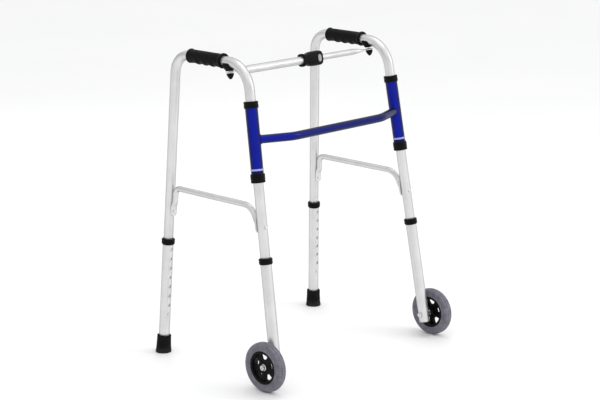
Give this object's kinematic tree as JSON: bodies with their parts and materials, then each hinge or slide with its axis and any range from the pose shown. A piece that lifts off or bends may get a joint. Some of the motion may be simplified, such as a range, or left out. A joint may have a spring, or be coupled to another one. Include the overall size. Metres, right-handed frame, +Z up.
{
  "type": "folding walking frame",
  "caption": "Adult folding walking frame with front wheels, rear rubber tips, telescopic legs, handgrips and a locking stay between the handles.",
  "frame": {"origin": "on the floor, in the middle of the footprint", "axes": "+X towards the left of the user who stands inside the frame facing -Y, +Z up"},
  "size_m": [0.6722, 0.5002, 0.8195],
  "materials": {
    "silver": "satin anodised",
    "blue": "gloss metallic",
    "black": "satin",
    "grip": "matte",
    "rubber": "matte",
    "tyre": "matte",
    "steel": "zinc plated",
    "brass": "sintered bronze"
  },
  "bodies": {
    "front_frame": {"sleeve_left": "blue", "sleeve_right": "blue", "crossbar": "blue", "sleeve_cap_top_left": "black", "sleeve_cap_top_right": "black", "sleeve_cap_bottom_left": "black", "sleeve_cap_bottom_right": "black"},
    "side_frame_left": {"side_tube_left": "silver", "handgrip_left": "grip", "side_brace_left": "silver", "brace_rivet_rear_left": "steel", "brace_rivet_front_left": "steel", "stay_bracket_left": "black"},
    "rear_leg_left": {"rear_leg_left": "silver", "rear_collar_left": "black", "rubber_tip_left": "rubber"},
    "snap_button_rear_left": {"snap_button_rear_left": "steel"},
    "front_leg_left": {"front_leg_left": "silver", "front_collar_left": "black", "axle_bolt_left": "steel", "axle_nut_left": "steel", "wheel_spacer_left": "steel"},
    "snap_button_front_left": {"snap_button_front_left": "steel"},
    "wheel_left": {"tyre_left": "tyre", "wheel_rim_left": "black", "wheel_bush_left": "brass"},
    "side_frame_right": {"side_tube_right": "silver", "handgrip_right": "grip", "side_brace_right": "silver", "brace_rivet_rear_right": "steel", "brace_rivet_front_right": "steel", "stay_bracket_right": "black"},
    "rear_leg_right": {"rear_leg_right": "silver", "rear_collar_right": "black", "rubber_tip_right": "rubber"},
    "snap_button_rear_right": {"snap_button_rear_right": "steel"},
    "front_leg_right": {"front_leg_right": "silver", "front_collar_right": "black", "axle_bolt_right": "steel", "axle_nut_right": "steel", "wheel_spacer_right": "steel"},
    "snap_button_front_right": {"snap_button_front_right": "steel"},
    "wheel_right": {"tyre_right": "tyre", "wheel_rim_right": "black", "wheel_bush_right": "brass"},
    "stay_pivot": {"stay_pin_right": "steel", "stay_knob_right": "black"},
    "stay_outer": {"stay_outer_tube": "silver", "lock_housing": "black"},
    "lock_button": {"lock_button": "steel"},
    "stay_bush": {"stay_bush": "black"},
    "stay_inner": {"stay_inner_tube": "silver", "stay_pin_left": "steel", "stay_knob_left": "black"}
  },
  "joints": [
    {"name": "left_fold", "type": "hinge", "parent": "front_frame", "child": "side_frame_left", "pos_m": [0.26547, -0.09496, 0.614], "axis": [-0.0396, 0.1641, 0.9857], "range_deg": [0, 75]},
    {"name": "rear_leg_slide_left", "type": "slide", "parent": "side_frame_left", "child": "rear_leg_left", "axis": [0.0401, 0.0436, -0.9982], "range_m": [0, 0.1778]},
    {"name": "snap_button_rear_left_press", "type": "slide", "parent": "side_frame_left", "child": "snap_button_rear_left", "axis": [-0.0017, 0.999, 0.0435], "range_m": [0, 0.003], "stiffness_N_per_m": 600},
    {"name": "front_leg_slide_left", "type": "slide", "parent": "side_frame_left", "child": "front_leg_left", "axis": [0.0396, -0.1641, -0.9857], "range_m": [0, 0.1778]},
    {"name": "snap_button_front_left_press", "type": "slide", "parent": "side_frame_left", "child": "snap_button_front_left", "axis": [-0.0066, -0.9865, 0.1639], "range_m": [0, 0.003], "stiffness_N_per_m": 600},
    {"name": "left_wheel_spin", "type": "hinge", "parent": "front_leg_left", "child": "wheel_left", "pos_m": [0.32258, -0.18659, 0.0635], "axis": [1, 0, 0], "continuous": true},
    {"name": "right_fold", "type": "hinge", "parent": "front_frame", "child": "side_frame_right", "pos_m": [-0.26547, -0.09496, 0.614], "axis": [-0.0396, -0.1641, -0.9857], "range_deg": [0, 60]},
    {"name": "rear_leg_slide_right", "type": "slide", "parent": "side_frame_right", "child": "rear_leg_right", "axis": [-0.0401, 0.0436, -0.9982], "range_m": [0, 0.1778]},
    {"name": "snap_button_rear_right_press", "type": "slide", "parent": "side_frame_right", "child": "snap_button_rear_right", "axis": [0.0017, 0.999, 0.0435], "range_m": [0, 0.003], "stiffness_N_per_m": 600},
    {"name": "front_leg_slide_right", "type": "slide", "parent": "side_frame_right", "child": "front_leg_right", "axis": [-0.0396, -0.1641, -0.9857], "range_m": [0, 0.1778]},
    {"name": "snap_button_front_right_press", "type": "slide", "parent": "side_frame_right", "child": "snap_button_front_right", "axis": [0.0066, -0.9865, 0.1639], "range_m": [0, 0.003], "stiffness_N_per_m": 600},
    {"name": "right_wheel_spin", "type": "hinge", "parent": "front_leg_right", "child": "wheel_right", "pos_m": [-0.32258, -0.18659, 0.0635], "axis": [1, 0, 0], "continuous": true},
    {"name": "stay_pivot_turn", "type": "hinge", "parent": "side_frame_right", "child": "stay_pivot", "pos_m": [-0.25904, -0.0043, 0.774], "axis": [0.0396, 0.1641, 0.9857], "range_deg": [0, 64.29]},
    {"name": "stay_swing", "type": "hinge", "parent": "stay_pivot", "child": "stay_outer", "pos_m": [-0.25904, -0.0043, 0.774], "axis": [0, 0.1, 0.995], "range_deg": [-6.18, 0]},
    {"name": "stay_bush_slide", "type": "slide", "parent": "stay_outer", "child": "stay_bush", "axis": [-1, 0, 0], "range_m": [0, 0.0604]},
    {"name": "stay_telescope", "type": "slide", "parent": "stay_bush", "child": "stay_inner", "axis": [-1, 0, 0], "range_m": [0, 0.0553]},
    {"name": "lock_button_press", "type": "slide", "parent": "stay_outer", "child": "lock_button", "axis": [0, 0.9864, -0.1642], "range_m": [0, 0.0025], "stiffness_N_per_m": 900}
  ],
  "couplings": [
    {"joint": "stay_pivot_turn", "follows": "right_fold", "ratio": 1.0632},
    {"joint": "stay_swing", "follows": "left_fold", "ratio": -0.0784},
    {"joint": "stay_bush_slide", "follows": "left_fold", "m_per_rad": 0.045778},
    {"joint": "stay_telescope", "follows": "right_fold", "m_per_rad": 0.0523}
  ]
}
